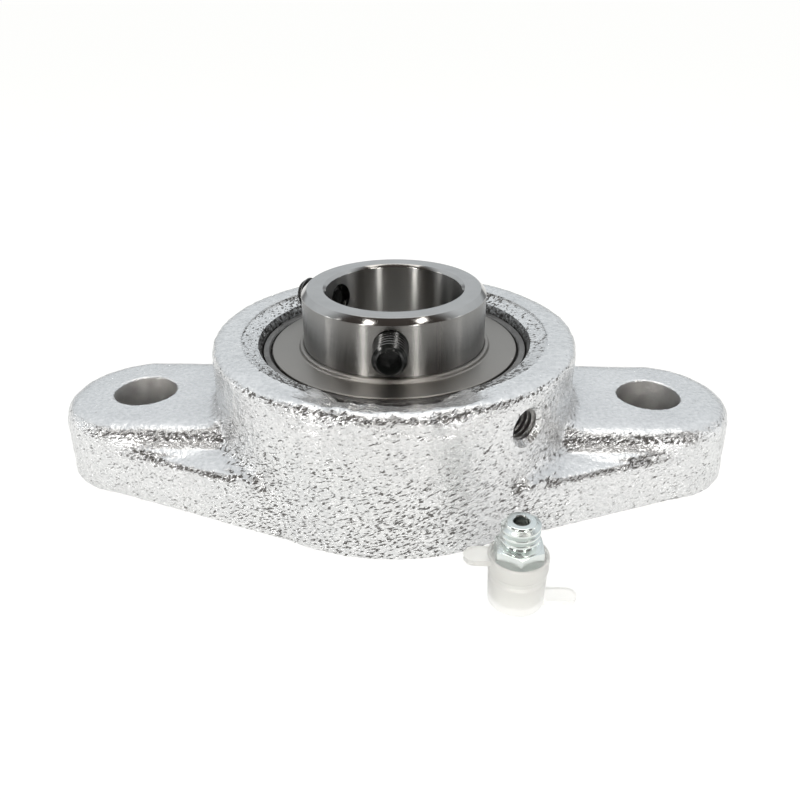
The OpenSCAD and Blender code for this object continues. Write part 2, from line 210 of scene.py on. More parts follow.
# %% [markdown]
# ## Threads
# A screw thread is one ridge that climbs round a core. The spin operator takes a climb for each
# step, so a small trapezoid section spun round the axis becomes the ridge. Its points are pulled
# in where an end chamfer has turned the thread away. Joined to a core it is a screw, and
# subtracted from a wall the same shape is a tap that leaves an inner thread.

# %% A threaded bar
FLANK_SLOPE = math.tan(math.radians(30))
CREST_SHARE = 0.28
THREAD_DEPTH = 0.52
RUN_OUT = 0.55
EMBED = 0.15


def threaded(name, core, crest_r, pitch, z_from, z_to, limit, steps=32):
    """A core outline with a thread ridge on it; limit gives the largest radius at a height."""
    depth = THREAD_DEPTH * pitch
    flat = CREST_SHARE * pitch / 2
    foot = flat + (depth + EMBED) * FLANK_SLOPE
    foot_r = crest_r - depth - EMBED
    bm = bmesh.new()
    section = [(foot_r, -foot), (crest_r, -flat), (crest_r, flat), (foot_r, foot)]
    ring = [bm.verts.new((r, 0, z_from + z)) for r, z in section]
    face = bm.faces.new(ring)
    turns = (z_to - z_from) / pitch
    bmesh.ops.spin(bm, geom=ring + list(face.edges) + [face], cent=(0, 0, 0), axis=(0, 0, 1),
                   dvec=(0, 0, pitch / steps), angle=math.tau * turns, steps=round(turns * steps))
    for vert in bm.verts:
        allowed = limit(vert.co.z)
        radius = vert.co.xy.length
        if radius > allowed:
            vert.co.xy *= allowed / radius
    ridge = blank(bm, name + "_ridge")
    bar = turned(name, core, steps=64)
    combine(bar, ridge, "UNION")
    return bar


# %% [markdown]
# ## The raw casting
# The housing is sand cast: a drafted hub, two bolt lugs and a lower skirt between them, all
# blending into each other with soft fillets. Modelling those blends face by face would be slow.
# Instead the lumps simply overlap, a voxel remesh melts them into one skin, and a few rounds of
# smoothing give the fillets. The skin is made with some allowance under the mounting face, as
# a real casting is, which is then planed off flat.

# %% Lumps of the casting
VOXEL = 0.46
ALLOWANCE = 2.0
LUG_TOP = 13.8
LUG_HALF = 16.0
LUG_DRAFT = 0.4
LUG_EDGE = 3.2
BAR_FOOT = 2.6
SKIRT_RIM = 10.4
SKIRT_FALL = 0.8
SKIRT_WIDTH = 5.0
SKIRT_INSET = 0.3
SKIRT_EDGE = 1.0
SKIRT_BEVEL = 0.6
HUB_DRAFT = 0.15
HUB_EDGE = 1.3
HUB_FOOT = 2.4
FOOT_INSET = 2.0
FOOT_UNDER = 1.0
LUG_FOOT_INSET = 2.5
SHELF_SPREAD = math.radians(50)
BAR_FOOT_SHARE = 0.84
BAR_OVERLAP = 0.5
hub_top_r = hub_r - HUB_DRAFT
lug_end_x = casting_high.x - LUG_HALF


def wrap_discs(bm, discs):
    """One convex skin round discs, each given as its place on X, radius and height."""
    rims = []
    for x, radius, z in discs:
        disc = bmesh.ops.create_circle(bm, segments=96, radius=radius,
                                       matrix=Matrix.Translation((x, 0, z)))
        rims += disc["verts"]
    skin = bmesh.ops.convex_hull(bm, input=rims)
    inner = skin["geom_interior"] + skin["geom_unused"]
    loose = {part for part in inner if isinstance(part, bmesh.types.BMVert)}
    bmesh.ops.delete(bm, geom=list(loose), context="VERTS")


def drafted(x, radius, top, edge):
    """Discs of a drafted boss with a rounded top edge."""
    upper = radius - LUG_DRAFT
    round_edge = arc(upper - edge, top - edge, edge, 0, 90, 6)
    return [(x, radius, -ALLOWANCE)] + [(x, r, z) for r, z in round_edge]


def sloped(x, radius):
    """Discs of the skirt, which falls a little from the bars to a steep bevel at its rim."""
    upper = radius - LUG_DRAFT
    rim = SKIRT_RIM - SKIRT_FALL
    return [(x, radius, -ALLOWANCE), (x, upper, rim - SKIRT_EDGE),
            (x, upper - SKIRT_BEVEL * SKIRT_EDGE, rim), (x, radius - SKIRT_WIDTH, SKIRT_RIM)]


def bar_foot(bm, ends, radius):
    """Concave fillet along a bar, wrapped as thin steps that the remesh and the smoothing blend."""
    for r, z in arc(radius + BAR_FOOT, SKIRT_RIM + BAR_FOOT, BAR_FOOT, 180, 270, 8)[1:]:
        wrap_discs(bm, [(x, r, level) for x in ends for level in (-ALLOWANCE, z)])


def hub_foot(bm, level, start, sweep):
    """Concave fillet from the hub wall down to a level, over a part of a turn."""
    inside = hub_top_r - FOOT_INSET
    under = level - FOOT_UNDER
    foot = [(inside, under), (hub_top_r + HUB_FOOT, under)]
    foot += [(r + HUB_FOOT, z) for r, z in arc(hub_top_r, level + HUB_FOOT, HUB_FOOT, 270, 180, 5)]
    foot.append((inside, level + HUB_FOOT))
    lathe(bm, foot, steps=24, start=start, sweep=sweep)


def casting_lumps():
    bm = bmesh.new()
    bottom = -ALLOWANCE
    lathe(bm, rounded([(0, bottom, 0), (hub_r, bottom, 0), (hub_top_r, hub_top, HUB_EDGE),
                       (0, hub_top, 0)]))
    skirt = sloped(0, hub_r - SKIRT_INSET)
    bar_spread = math.asin((LUG_HALF - LUG_FOOT_INSET) / hub_r)
    for side in (-1, 1):
        root_x, end_x = side * hub_r / 2, side * lug_end_x
        root = drafted(root_x, LUG_HALF, LUG_TOP, LUG_EDGE)
        wrap_discs(bm, root + drafted(end_x, LUG_HALF, LUG_TOP, LUG_EDGE))
        bar_foot(bm, (root_x, BAR_FOOT_SHARE * end_x), LUG_HALF - LUG_DRAFT - BAR_OVERLAP)
        skirt += sloped(end_x, LUG_HALF - SKIRT_INSET)
        turn = 0 if side == 1 else math.pi
        hub_foot(bm, LUG_TOP, turn - bar_spread, 2 * bar_spread)
        hub_foot(bm, SKIRT_RIM, turn - SHELF_SPREAD, 2 * SHELF_SPREAD)
    wrap_discs(bm, skirt)
    return blank(bm, "cast_housing")


casting = casting_lumps()
remesh = casting.modifiers.new("melt", "REMESH")
remesh.mode = "VOXEL"
remesh.voxel_size = VOXEL
settle(casting)
print("faces in the melted skin:", len(casting.data.polygons))

# %% [markdown]
# ## The cast skin
# Sand leaves a skin of small lumps, coarser on the walls than on the flat tops, and the front
# edge of the hub is lumpier still. Noise moves each point along its normal. Two slots let the
# insert swing into its seat, and next to them the hub's top face slopes down, so the points there
# are lowered too.

# %% Smooth, roughen and plane the skin
CRISP_ROUNDS = 3
SOFTEN_ROUNDS = 5
BAR_ROUNDS = 30
SLOT_SPREAD = math.radians(36)
RAMP_FALL = 2.7
RAMP_IN = 24.5
RIM_WIDTH = 1.7
RIM_SLOPE = 0.35
RAMP_OUT = hub_top_r - RIM_WIDTH
RAMP_DEPTH = 4.0
RAMP_FLAT = 0.45
SKIN_MARGIN = 0.2
RIM_BAND = 3.2
BAR_SIDE_FROM = 11
BAR_SIDE_TO = 19
# Heights of the sand's lumps in millimetres, and their rates in lumps to a millimetre
LUMP_MM = 0.10
SCALLOP_MM = 0.6
SWELL_RATE = 0.16
COARSE_RATE = 0.42
SCALLOP_RATE = 0.33
GRAIN_RATE = 0.8
GRAIN_SQUASH = 1.6


def share_between(low, high, value):
    return min(max((value - low) / (high - low), 0.0), 1.0)


def smooth_step(low, high, value):
    share = share_between(low, high, value)
    return share * share * (3 - 2 * share)


def ramp_share(point):
    """1 on the middle of the sloping scoops at the front and the back of the hub, 0 beside them."""
    if point.z < hub_top - RAMP_DEPTH or point.xy.length > hub_top_r + SKIN_MARGIN:
        return 0.0
    from_middle = abs(math.atan2(point.x, abs(point.y)))
    return 1 - smooth_step(RAMP_FLAT * SLOT_SPREAD, SLOT_SPREAD, from_middle)


def ramp_fall(point):
    """Drop of the hub's top face from its crest, in to the loading slots and out to the rim."""
    radius = point.xy.length
    inward = RAMP_FALL * (1 - share_between(RAMP_IN, RAMP_OUT, radius))
    outward = RIM_SLOPE * max(radius - RAMP_OUT, 0)
    near_top = smooth_step(hub_top - RAMP_DEPTH, hub_top - 1, point.z)
    return ramp_share(point) * near_top * (inward + outward)


def sand_lumps(point, flatness, broken):
    """Height of the sand's print at a point, in millimetres; broken is 1 on the lumpy ramps."""
    walls = max(1 - 0.7 * flatness, broken)
    swell = LUMP_MM * noise.noise(point * SWELL_RATE)
    coarse = LUMP_MM * walls * noise.noise(point * COARSE_RATE + Vector((7, 3, 1)))
    scallops = SCALLOP_MM * broken * noise.noise(point * SCALLOP_RATE + Vector((2, 5, 9)))
    flattened = Vector((point.x, point.y, GRAIN_SQUASH * point.z))
    grain = LUMP_MM * (walls + broken) * noise.noise(flattened * GRAIN_RATE)
    return swell + coarse + scallops + grain


def soften(bm, verts, rounds):
    for _ in range(rounds):
        bmesh.ops.smooth_vert(bm, verts=verts, factor=0.5,
                              use_axis_x=True, use_axis_y=True, use_axis_z=True)


def on_skirt_rim(point):
    """True in the band below the skirt's rim, which stays crisp."""
    in_band = SKIRT_RIM - RIM_BAND < point.z < SKIRT_RIM - 0.1
    return in_band and point.xy.length > hub_r + 0.4


def on_bar_side(point):
    """True on the sides of the bars, where they melt into the skirt."""
    beside = BAR_SIDE_FROM < abs(point.y) < BAR_SIDE_TO and abs(point.x) < bolt_x + 2
    return beside and point.z > SKIRT_RIM + 0.3 and point.xy.length > hub_r + 0.5


bm = bmesh.new()
bm.from_mesh(casting.data)
soften(bm, bm.verts, CRISP_ROUNDS)
soften(bm, [v for v in bm.verts if not on_skirt_rim(v.co)], SOFTEN_ROUNDS)
soften(bm, [v for v in bm.verts if on_bar_side(v.co)], BAR_ROUNDS)
bm.normal_update()
moved = []
for vert in bm.verts:
    point = vert.co.copy()
    flatness = smooth_step(0.75, 0.97, vert.normal.z)
    offset = vert.normal * sand_lumps(point, flatness, ramp_share(point))
    offset.z -= ramp_fall(point)
    moved.append(point + offset)
for vert, point in zip(bm.verts, moved):
    vert.co = (point.x, min(max(point.y, -hub_r), hub_r), point.z)
bmesh.ops.bisect_plane(bm, geom=bm.verts[:] + bm.edges[:] + bm.faces[:], dist=1e-5,
                       plane_co=(0, 0, 0), plane_no=(0, 0, 1), clear_inner=True)
rim_edges = [e for e in bm.edges if e.is_boundary]
bmesh.ops.holes_fill(bm, edges=rim_edges, sides=0)
bmesh.ops.recalc_face_normals(bm, faces=bm.faces)
bm.to_mesh(casting.data)
bm.free()
print("edges round the planed face:", len(rim_edges))

# %% [markdown]
# ## Machining the casting
# The seat for the insert, its dish, the loading slots, the bolt holes and the tapped grease port
# are machined after casting, so they are cut from the finished skin with crisp tools. One turned
# tool takes out the seat and the dish together.

# %% Cut the seat, slots and holes
SEAT_GAP = 0.03
seat_r = sphere_r + SEAT_GAP
SEAT_HALF = 7.5
mouth_r = math.sqrt(seat_r ** 2 - SEAT_HALF ** 2)
DISH_R = 28.5
DISH_STEP = 0.4
DISH_DEPTH = 2.3
BEVEL_R = 25.5
BEVEL_DEPTH = 1.1
REAR_CHAMFER = 1.0
OVER = 3.0
seat_angle = math.degrees(math.asin(SEAT_HALF / seat_r))
dish = [(mouth_r, hub_top - DISH_DEPTH), (BEVEL_R, hub_top - BEVEL_DEPTH),
        (DISH_R, hub_top - DISH_STEP)]
rear_r = mouth_r + REAR_CHAMFER
pocket = [(0, -OVER), (rear_r, -OVER), (rear_r, 0), (mouth_r, REAR_CHAMFER)]
pocket += arc(0, bearing_z, seat_r, -seat_angle, seat_angle)
pocket += dish + [(DISH_R + 0.05, hub_top + OVER), (0, hub_top + OVER)]
combine(casting, turned("seat_tool", pocket, steps=256))

SLOT_HALF = 8.8
SLOT_R = seat_r + 0.4
slot_sweep = 2 * math.asin(SLOT_HALF / SLOT_R)
for side in (-1, 1):
    bm = bmesh.new()
    slot = [(bore_r, bearing_z), (SLOT_R, bearing_z),
            (SLOT_R, hub_top + OVER), (bore_r, hub_top + OVER)]
    lathe(bm, slot, steps=24, start=side * math.pi / 2 - slot_sweep / 2, sweep=slot_sweep)
    combine(casting, blank(bm, "slot_tool"))

HOLE_BREAK = 0.3
for side in (-1, 1):
    drill = [(0, -OVER), (bolt_r, -OVER), (bolt_r, LUG_TOP - HOLE_BREAK),
             (bolt_r + HOLE_BREAK + OVER, LUG_TOP + OVER), (0, LUG_TOP + OVER)]
    combine(casting, turned("drill", drill, place=Matrix.Translation((side * bolt_x, 0, 0))))
print("faces in the machined casting:", len(casting.data.polygons))

# %% [markdown]
# The grease port is drilled, tapped and countersunk. The tap from the thread helper is laid along
# the port's axis, which the frame gives as a mount.

# %% Tap the grease port
PORT_PITCH = 1.0
PORT_SINK = 0.6
FEED_R = 1.25
port = mounts["grease_port"]
port_axis = Vector(port["axis"])
port_drill_r = port["dims"]["r_mm"]
port_r = port_drill_r + PORT_PITCH / 2
port_middle = Vector(port["pos_m"]) / MM
port_floor = port_middle.xy.length - port["dims"]["length_mm"] / 2
port_mouth = port_floor + port["dims"]["length_mm"]
tap_core = [(0, port_floor), (port_drill_r, port_floor), (port_drill_r, port_mouth),
            (port_r + PORT_SINK, port_mouth + PORT_SINK + 0.5),
            (port_r + PORT_SINK + 0.6, port_mouth + OVER), (0, port_mouth + OVER)]
tap = threaded("tap", tap_core, port_r, PORT_PITCH, port_floor + 0.6, port_mouth + 0.4,
               lambda z: port_r)
tap.data.transform(pointing(port_axis, (0, 0, port_middle.z)))
combine(casting, tap)
feed = [(0, mouth_r - 1), (FEED_R, mouth_r - 1), (FEED_R, port_floor + 0.5), (0, port_floor + 0.5)]
combine(casting, turned("feed_drill", feed, 32, pointing(port_axis, (0, 0, port_middle.z))))
print("port mouth at radius", round(port_mouth, 2))

# %% [markdown]
# The cut faces differ from the cast skin, so faces are sorted by place into the material slots:
# cast skin, drilled walls, and the bored seat with its rough mouth.

# %% Sort the casting's faces
CAST, DRILLED, BORED = 0, 1, 2


def casting_slot(face):
    centre, normal = face.center, face.normal
    if any((centre.xy - Vector((side * bolt_x, 0))).length < bolt_r + 0.02 for side in (-1, 1)):
        return DRILLED
    from_axis = centre - Vector((0, 0, port_middle.z))
    along = from_axis.dot(port_axis)
    if along > mouth_r and (from_axis - port_axis * along).length < port_r + 0.05:
        return DRILLED
    if centre.xy.length < BEVEL_R + 0.02 and centre.z < hub_top - BEVEL_DEPTH + 0.02:
        return BORED
    return CAST


for face in casting.data.polygons:
    face.material_index = casting_slot(face)
slots_used = [face.material_index for face in casting.data.polygons]
print("cast, drilled and bored faces:", [slots_used.count(i) for i in (CAST, DRILLED, BORED)])

# %% [markdown]
# ## The bearing rings
# Both rings are turned and ground. The outer ring has its spherical back, the ball raceway and two
# seal seats. The inner ring is longer towards the front, where two tapped holes take the set screws.
# Small chamfers at all ends catch the light.

# %% Turn the rings
BALL_R = 3.969
RACE_R = 4.128
outer_half = (outer_high.z - outer_low.z) / 2
ball_low, ball_high = corners("ball_1")
pitch_r = ((ball_low + ball_high) / 2).xy.length
race_shift = RACE_R - BALL_R - 0.015
shoulder_r = pitch_r + (pitch_r - ring_r)
SEAL_LIP = 1.2
SEAL_DEPTH = 2.6
GROOVE_Z = 4.5
GROOVE_R = 1.2
end_angle = math.degrees(math.asin(outer_half / sphere_r))
face_r = math.sqrt(sphere_r ** 2 - outer_half ** 2)
race_angle = math.degrees(math.acos((shoulder_r - pitch_r + race_shift) / RACE_R))
seal_r = face_r - SEAL_LIP
outline = arc(0, bearing_z, sphere_r, -end_angle, end_angle, 40)
for end in (1, -1):
    face_z = bearing_z + end * outer_half
    lip = [(face_r - 0.15, face_z), (seal_r + 0.25, face_z), (seal_r, face_z - end * 0.25),
           (seal_r, face_z - end * SEAL_DEPTH), (shoulder_r, face_z - end * SEAL_DEPTH)]
    if end == 1:
        outline += lip + arc(pitch_r - race_shift, bearing_z, RACE_R, race_angle, -race_angle)
    else:
        outline += lip[::-1]
outer_ring = turned("ground_outer_ring", outline, steps=160)

RING_CHAMFER = 1.0
BORE_CHAMFER = 0.55
CHAMFER_SOFT = 0.12
race_depth = math.degrees(math.acos((pitch_r + race_shift - ring_r) / RACE_R))
front_end = [(ring_r, ring_high.z - RING_CHAMFER), (ring_r - RING_CHAMFER, ring_high.z),
             (bore_r + BORE_CHAMFER, ring_high.z), (bore_r, ring_high.z - BORE_CHAMFER)]
rear_end = [(bore_r, ring_low.z + BORE_CHAMFER), (bore_r + BORE_CHAMFER, ring_low.z),
            (ring_r - RING_CHAMFER, ring_low.z), (ring_r, ring_low.z + RING_CHAMFER)]
bore_side = rounded([(r, z, CHAMFER_SOFT) for r, z in front_end + rear_end])
race = arc(pitch_r + race_shift, bearing_z, RACE_R, 180 + race_depth, 180 - race_depth)
inner_ring = turned("ground_inner_ring", bore_side + race, steps=192)
print("ring faces:", len(outer_ring.data.polygons), len(inner_ring.data.polygons))

# %% Drill the set screw holes
SCREW_R = 2.95
SCREW_HOLE_R = 3.0
SCREW_SINK = 0.35
screw_axes = {name: Vector(joints[name + "_travel"]["axis"])
              for name in ("set_screw_1", "set_screw_2")}
for name, axis in screw_axes.items():
    low, high = corners(name)
    level = Vector((0, 0, (low.z + high.z) / 2))
    hole = [(0, bore_r - 4), (SCREW_HOLE_R, bore_r - 4), (SCREW_HOLE_R, ring_r - SCREW_SINK),
            (SCREW_HOLE_R + SCREW_SINK + 2, ring_r + 2), (0, ring_r + 2)]
    combine(inner_ring, turned("screw_drill", hole, 64, pointing(axis, level)))
print("inner ring faces with its holes:", len(inner_ring.data.polygons))

# %% [markdown]
# ## Slingers
# A slinger is a pressed steel disc that turns with the inner ring and throws dirt and grease off.
# Its bore is flanged into a low collar. The same outline, mirrored about the bearing centre, makes
# the one at the back.

# %% Turn the slingers
COLLAR_W = 0.8
SHEET_SOFT = 0.22


def slinger(node, end):
    low, high = corners(node)
    disc_r = high.x
    near, far = (low.z, high.z) if end == 1 else (high.z, low.z)
    sheet = 0.8 * end
    return turned("pressed_" + node, rounded([
        (ring_r + 0.02, near, 0), (disc_r, near, 0), (disc_r, near + sheet, SHEET_SOFT),
        (ring_r + COLLAR_W + 0.1, near + sheet, 0.3), (ring_r + COLLAR_W, far, 0.35),
        (ring_r + 0.02, far, 0.2)]), steps=160)


front_slinger = slinger("front_slinger", 1)
rear_slinger = slinger("rear_slinger", -1)
print("slingers turned")

# %% [markdown]
# ## Set screws
# Two black socket screws lock the ring to its shaft. Each is a threaded bar with a chamfered end,
# a cup point and a hexagon socket, laid along its own joint axis.

# %% Make the set screws
SCREW_PITCH = 1.0
SCREW_CHAMFER = 0.55
SOCKET_FLATS = 3.0
SOCKET_DEPTH = 3.0
CUP_R = 1.5
SINK_SLOPE = math.tan(math.radians(24))
SINK_R = 1.45
SINK_DEPTH = 1.4
CREST_BAND = 0.08


screw_low, screw_high = corners("set_screw_1")


def set_screw(name):
    """Both screws are alike; the first one lies along Y, so its box gives their length."""
    low, high = corners(name)
    axis = screw_axes[name]
    centre = (low + high) / 2
    length = screw_high.y - screw_low.y
    root = SCREW_R - THREAD_DEPTH * SCREW_PITCH
    end_r = SCREW_R - SCREW_CHAMFER - 0.25
    core = rounded([(0, 0.7, 0), (CUP_R, 0, 0.05), (CUP_R + 0.35, 0, 0.05), (root, 0.6, 0.1),
                    (root, length - 0.35, 0.08), (end_r, length, 0.12), (0, length, 0)])

    def limit(z):
        return min(SCREW_R, 1.8 + 1.3 * max(z, 0), end_r - 0.02 + 1.05 * max(length - z, 0))

    screw = threaded("threaded_" + name, core, SCREW_R, SCREW_PITCH, RUN_OUT, length - RUN_OUT, limit)
    bm = bmesh.new()
    corner_r = SOCKET_FLATS / math.sqrt(3)
    bmesh.ops.create_cone(bm, cap_ends=True, segments=6, radius1=corner_r, radius2=corner_r,
                          depth=2 * SOCKET_DEPTH, matrix=Matrix.Translation((0, 0, length)))
    combine(screw, blank(bm, "key_tool"))
    sink_floor = length - SINK_DEPTH
    sink_mouth_r = SINK_R + (SINK_DEPTH + 1) * SINK_SLOPE
    sink = [(0, sink_floor), (SINK_R, sink_floor), (sink_mouth_r, length + 1), (0, length + 1)]
    combine(screw, turned("sink_tool", sink, 64))
    # The thread crests take a lighter metal finish as a painted highlight of the light they catch.
    for face in screw.data.polygons:
        face.material_index = int(face.center.xy.length > SCREW_R - CREST_BAND)
    screw.data.transform(pointing(axis, centre - axis * (length / 2)))
    return screw


set_screws = {name: set_screw(name) for name in screw_axes}
print("screw faces:", [len(s.data.polygons) for s in set_screws.values()])

# %% [markdown]
# ## Grease nipple
# The loose nipple stands head down: a coupling head and neck inside the cap, a chamfered hexagon,
# and the thread upwards with its rounded tip and the grease channel through it. The hexagon is a
# six-sided cone section, and a turned tool that is kept in common with it makes the chamfers.

# %% Make the nipple
NIPPLE_CHANNEL_R = 1.2
HEX_FLATS = 7.0
HEAD_R = 3.25
HEAD_H = 3.6
NECK_R = 2.4
SHOULDER_R = 3.3
HEX_FROM = 6.6
HEX_H = 3.0
NIPPLE_PITCH = 1.0
NIPPLE_R = 2.98
TIP_R = 2.35
CHECK_MOUTH_R = 0.64
CHECK_SEAT_Z = 0.9
nipple_low, nipple_high = corners("nipple_body")
nipple_axis = (nipple_low + nipple_high) / 2
nipple_h = nipple_high.z - nipple_low.z
thread_from = HEX_FROM + HEX_H
root = NIPPLE_R - THREAD_DEPTH * NIPPLE_PITCH
core = rounded([
    (0, 0, 0), (1.5, 0, 0.3), (2.5, 0.5, 0.4), (HEAD_R, 2.0, 0.4), (HEAD_R, 2.9, 0.3),
    (NECK_R, HEAD_H, 0.3), (NECK_R, HEX_FROM, 0), (NECK_R, thread_from - 0.1, 0),
    (SHOULDER_R, thread_from - 0.1, 0), (SHOULDER_R, thread_from + 0.15, 0.1),
    (root - 0.05, thread_from + 0.25, 0.1), (root, nipple_h - 0.9, 0.1),
    (TIP_R, nipple_h, 0.35), (0, nipple_h, 0)])


def nipple_limit(z):
    return min(NIPPLE_R, TIP_R - 0.1 + 1.25 * max(nipple_h - z, 0) ** 0.75)


nipple = threaded("zinc_nipple", core, NIPPLE_R, NIPPLE_PITCH, thread_from + RUN_OUT,
                  nipple_h - RUN_OUT, nipple_limit)
bm = bmesh.new()
bmesh.ops.create_cone(bm, cap_ends=True, segments=6, radius1=HEX_FLATS / math.sqrt(3),
                      radius2=HEX_FLATS / math.sqrt(3), depth=HEX_H,
                      matrix=Matrix.Translation((0, 0, HEX_FROM + HEX_H / 2)))
hexagon = blank(bm, "hexagon")
flat_r = HEX_FLATS / 2
barrel = [(0, HEX_FROM), (flat_r - 0.05, HEX_FROM), (flat_r + 0.9, HEX_FROM + 0.45),
          (flat_r + 0.9, thread_from - 0.5), (flat_r - 0.05, thread_from), (0, thread_from)]
combine(hexagon, turned("barrel", barrel, 96), "INTERSECT")
combine(nipple, hexagon, "UNION")
channel = [(0, -1), (CHECK_MOUTH_R, -1), (CHECK_MOUTH_R, CHECK_SEAT_Z),
           (NIPPLE_CHANNEL_R, CHECK_SEAT_Z + 0.5), (NIPPLE_CHANNEL_R, nipple_h - 0.12),
           (NIPPLE_CHANNEL_R + 0.6, nipple_h + 0.4), (0, nipple_h + 0.4)]
combine(nipple, turned("channel_drill", channel, 64))
nipple.data.transform(Matrix.Translation((nipple_axis.x, nipple_axis.y, nipple_low.z)))
print("nipple faces:", len(nipple.data.polygons))

# %% [markdown]
# ## Check spring
# A fine spring in the nipple's channel holds the check ball on its seat. It is made like a thread
# without a core: a round wire section, spun with a climb for each step.

# %% Wind the check spring
WIRE_R = 0.15
SPRING_TURNS = 8
SPRING_STEPS = 24
spring_low, spring_high = corners("check_spring")
coil_r = spring_high.x - nipple_axis.x - WIRE_R
spring_rise = spring_high.z - spring_low.z - 2 * WIRE_R
bm = bmesh.new()
upright = Matrix.Rotation(math.pi / 2, 4, "X")
bmesh.ops.create_circle(bm, cap_ends=True, segments=10, radius=WIRE_R,
                        matrix=Matrix.Translation((coil_r, 0, spring_low.z + WIRE_R)) @ upright)
coil_steps = SPRING_TURNS * SPRING_STEPS
bmesh.ops.spin(bm, geom=bm.verts[:] + bm.edges[:] + bm.faces[:], cent=(0, 0, 0), axis=(0, 0, 1),
               dvec=(0, 0, spring_rise / coil_steps), angle=math.tau * SPRING_TURNS, steps=coil_steps)
bmesh.ops.translate(bm, verts=bm.verts, vec=(nipple_axis.x, nipple_axis.y, 0))
open_edges = sum(1 for edge in bm.edges if not edge.is_manifold)
spring = blank(bm, "wound_spring")
print("spring faces:", len(spring.data.polygons), "with open edges:", open_edges)

# %% [markdown]
# ## Dust cap
# The cap is moulded in milky plastic: a cup with a thicker rim that grips the hexagon, a pull tab
# at the floor and an ear at the rim. The tabs are flat discs wrapped to the wall, joined to the
# turned cup.

# %% Mould the cap
CAP_FLOOR = 1.0
CAP_WALL_R = 4.36
CAP_RIM_R = 4.66
CAP_RIM_Z = 6.5
CAP_SOCKET_R = 3.37
CAP_GRIP_R = 4.16
CAP_SHOULDER_Z = 7.6
TAB_W = 3.2
EAR_W = 3.6
TAB_T = 0.9
EAR_DROP = 0.2
WALL_BITE = 0.1
cap_low, cap_high = corners("dust_cap")
cap_h = cap_high.z
cap_place = Matrix.Translation((nipple_axis.x, nipple_axis.y, 0))
cup = rounded([
    (0, 0, 0), (CAP_WALL_R - 0.06, 0, 0.4), (CAP_WALL_R + 0.1, 4.9, 0.3),
    (CAP_WALL_R - 0.15, 5.3, 0.2), (CAP_WALL_R - 0.15, CAP_RIM_Z - 0.5, 0.2),
    (CAP_RIM_R, CAP_RIM_Z, 0.25), (CAP_RIM_R, cap_h, 0.25),
    (CAP_GRIP_R, cap_h, 0.15), (CAP_GRIP_R, CAP_SHOULDER_Z, 0), (CAP_SOCKET_R, CAP_SHOULDER_Z, 0.1),
    (CAP_SOCKET_R, CAP_FLOOR, 0.2), (0, CAP_FLOOR, 0)])
cap = turned("moulded_cap", cup, steps=96)


def tab(reach, width, low_z, root_r):
    """A flat round-ended strap from a radius inside the cap's wall out to its reach on X."""
    bm = bmesh.new()
    side = math.copysign(1, reach)
    high_z = low_z + TAB_T
    wrap_discs(bm, [(x, width / 2, z) for x in (side * root_r, reach - side * width / 2)
                    for z in (low_z, high_z)])
    strap = blank(bm, "strap")
    inside = [(0, low_z - 1), (root_r, low_z - 1), (root_r, high_z + 1), (0, high_z + 1)]
    combine(strap, turned("inside_tool", inside, 96))
    return strap


combine(cap, tab(cap_high.x - nipple_axis.x, TAB_W, 0, CAP_SOCKET_R), "UNION")
ear = tab(cap_low.x - nipple_axis.x, EAR_W, cap_h - EAR_DROP - TAB_T, CAP_GRIP_R + WALL_BITE)
combine(cap, ear, "UNION")
cap.data.transform(cap_place)
print("cap is", round(cap_h, 2), "mm high with", len(cap.data.polygons), "faces")

# %% [markdown]
# ## Shader maths as expressions
# A material is a graph of nodes, and a graph is easier to read as a formula. This small class wraps
# one output socket, so that adding or multiplying two wires adds the Math node between them. One
# method makes every other kind of node.


# %% A wire between nodes
class Wire:
    """An output socket in a node tree, with arithmetic."""

    def __init__(self, tree, socket=None):
        self.tree = tree
        self.socket = socket

    def node(self, kind, settings=None, sockets=None, out=0):
        made = self.tree.nodes.new(kind)
        for key, value in (settings or {}).items():
            setattr(made, key, value)
        for key, value in (sockets or {}).items():
            if isinstance(value, Wire):
                self.tree.links.new(value.socket, made.inputs[key])
            else:
                made.inputs[key].default_value = value
        return Wire(self.tree, made.outputs[out])

    def twin(self, out):
        """Another output of the same node."""
        return Wire(self.tree, self.socket.node.outputs[out])

    def math(self, operation, first, second):
        return self.node("ShaderNodeMath", {"operation": operation}, {0: first, 1: second})

    def __add__(self, other):
        return self.math("ADD", self, other)

    def __radd__(self, other):
        return self.math("ADD", other, self)

    def __sub__(self, other):
        return self.math("SUBTRACT", self, other)

    def __rsub__(self, other):
        return self.math("SUBTRACT", other, self)

    def __mul__(self, other):
        return self.math("MULTIPLY", self, other)

    def __rmul__(self, other):
        return self.math("MULTIPLY", other, self)

    def rise(self, low, high):
        """0 below low, 1 above high and a smooth step between."""
        return self.node("ShaderNodeMapRange", {"interpolation_type": "SMOOTHSTEP"},
                         {"Value": self, "From Min": low, "From Max": high})

    def tint(self, low, high):
        """Mixes two colours, or wires of colour, by this value."""
        low, high = (c if isinstance(c, Wire) else (*c, 1.0) for c in (low, high))
        return self.node("ShaderNodeMix", {"data_type": "RGBA"}, {0: self, 6: low, 7: high}, 2)

    def cloud(self, scale, detail=2.0, rough=0.5):
        """Noise over this position, with its scale in lumps to a metre."""
        return self.node("ShaderNodeTexNoise", {},
                         {"Vector": self, "Scale": scale, "Detail": detail, "Roughness": rough}, "Fac")

    def stretch(self, x, y, z):
        return self.node("ShaderNodeVectorMath", {"operation": "MULTIPLY"}, {0: self, 1: (x, y, z)})

    def axes(self):
        x = self.node("ShaderNodeSeparateXYZ", {}, {0: self})
        return x, x.twin(1), x.twin(2)

    def bump(self, distance):
        return self.node("ShaderNodeBump", {}, {"Height": self, "Distance": distance}, "Normal")


